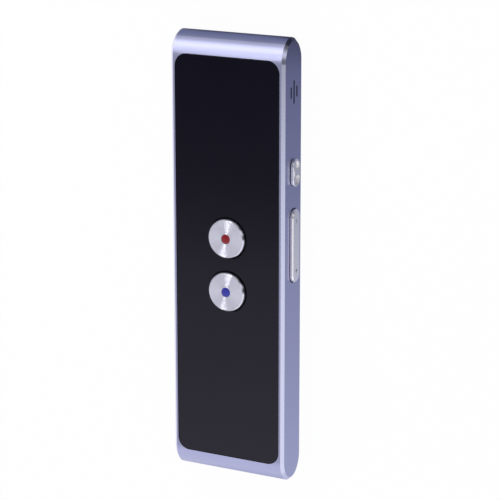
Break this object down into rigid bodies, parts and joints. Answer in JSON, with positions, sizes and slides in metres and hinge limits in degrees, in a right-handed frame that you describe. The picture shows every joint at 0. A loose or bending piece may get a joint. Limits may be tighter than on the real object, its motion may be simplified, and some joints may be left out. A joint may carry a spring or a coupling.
{
  "type": "handheld translator",
  "caption": "Slim handheld voice translator: rounded metal body, black front panel, round talk keys, and a volume rocker and power slider on its right side.",
  "frame": {"origin": "centre of the flat back face", "axes": "+Y along the length towards the end with the sound slits, +Z out of the front face, +X towards the side with the rocker and slider"},
  "size_m": [0.038, 0.134, 0.0131],
  "materials": {
    "body_metal": "satin anodised, fine grain",
    "front_panel": "black, high gloss",
    "key_metal": "turned in fine rings, bevelled rim",
    "side_key_metal": "satin",
    "red_dot": "gloss",
    "blue_dot": "gloss",
    "black_plastic": "matt",
    "white_plastic": "matt",
    "board": "solder mask",
    "chip": "moulded",
    "steel": "plain",
    "foam": "soft",
    "cell_wrap": "foil pouch",
    "copper": "bare",
    "wire": "sleeved"
  },
  "bodies": {
    "case": {"housing": "body_metal", "front_panel": "front_panel", "panel_tape": "foam", "key_frame": "black_plastic", "frame_screws": "steel", "main_board": "board", "shield_can": "steel", "radio_chip": "chip", "board_chips": "chip", "antenna": "white_plastic", "status_light": "white_plastic", "red_switch": "steel", "blue_switch": "steel", "volume_pin": "steel", "volume_bracket": "black_plastic", "volume_switches": "steel", "power_switch": "steel", "speaker_box": "black_plastic", "speaker_driver": "chip", "speaker_mesh": "steel", "socket_shell": "steel", "socket_tongue": "black_plastic", "microphone": "steel", "microphone_boot": "foam", "battery_cell": "cell_wrap", "battery_tape": "foam", "protection_board": "board", "battery_leads": "wire"},
    "red_key": {"red_key_cap": "key_metal", "red_key_dot": "red_dot", "red_key_carrier": "black_plastic"},
    "red_plunger": {"red_switch_plunger": "black_plastic"},
    "blue_key": {"blue_key_cap": "key_metal", "blue_key_dot": "blue_dot", "blue_key_carrier": "black_plastic"},
    "blue_plunger": {"blue_switch_plunger": "black_plastic"},
    "volume_rocker": {"volume_key": "side_key_metal"},
    "volume_up": {"volume_up_plunger": "black_plastic"},
    "volume_down": {"volume_down_plunger": "black_plastic"},
    "power_slider": {"power_cap": "side_key_metal", "power_carrier": "black_plastic", "power_lever": "black_plastic"}
  },
  "joints": [
    {"name": "red_key_press", "type": "slide", "parent": "case", "child": "red_key", "axis": [0, 0, 1], "range_m": [-0.0004, 0], "stiffness_N_per_m": 1500, "springref_m": 0.0002},
    {"name": "red_plunger_press", "type": "slide", "parent": "case", "child": "red_plunger", "axis": [0, 0, 1], "range_m": [-0.0004, 0]},
    {"name": "blue_key_press", "type": "slide", "parent": "case", "child": "blue_key", "axis": [0, 0, 1], "range_m": [-0.0004, 0], "stiffness_N_per_m": 1500, "springref_m": 0.0002},
    {"name": "blue_plunger_press", "type": "slide", "parent": "case", "child": "blue_plunger", "axis": [0, 0, 1], "range_m": [-0.0004, 0]},
    {"name": "volume_rock", "type": "hinge", "parent": "case", "child": "volume_rocker", "pos_m": [0.01425, 0.0058, 0.00565], "axis": [0, 0, 1], "range_deg": [-1.6, 1.6], "stiffness_Nm_per_rad": 0.3},
    {"name": "volume_up_press", "type": "slide", "parent": "case", "child": "volume_up", "axis": [1, 0, 0], "range_m": [-0.00024, 0.00024]},
    {"name": "volume_down_press", "type": "slide", "parent": "case", "child": "volume_down", "axis": [1, 0, 0], "range_m": [-0.00024, 0.00024]},
    {"name": "power_slide", "type": "slide", "parent": "case", "child": "power_slider", "axis": [0, 1, 0], "range_m": [0, 0.002]}
  ],
  "couplings": [
    {"joint": "red_plunger_press", "follows": "red_key_press", "ratio": 1},
    {"joint": "blue_plunger_press", "follows": "blue_key_press", "ratio": 1},
    {"joint": "volume_up_press", "follows": "volume_rock", "m_per_rad": 0.0085},
    {"joint": "volume_down_press", "follows": "volume_rock", "m_per_rad": -0.0085}
  ]
}
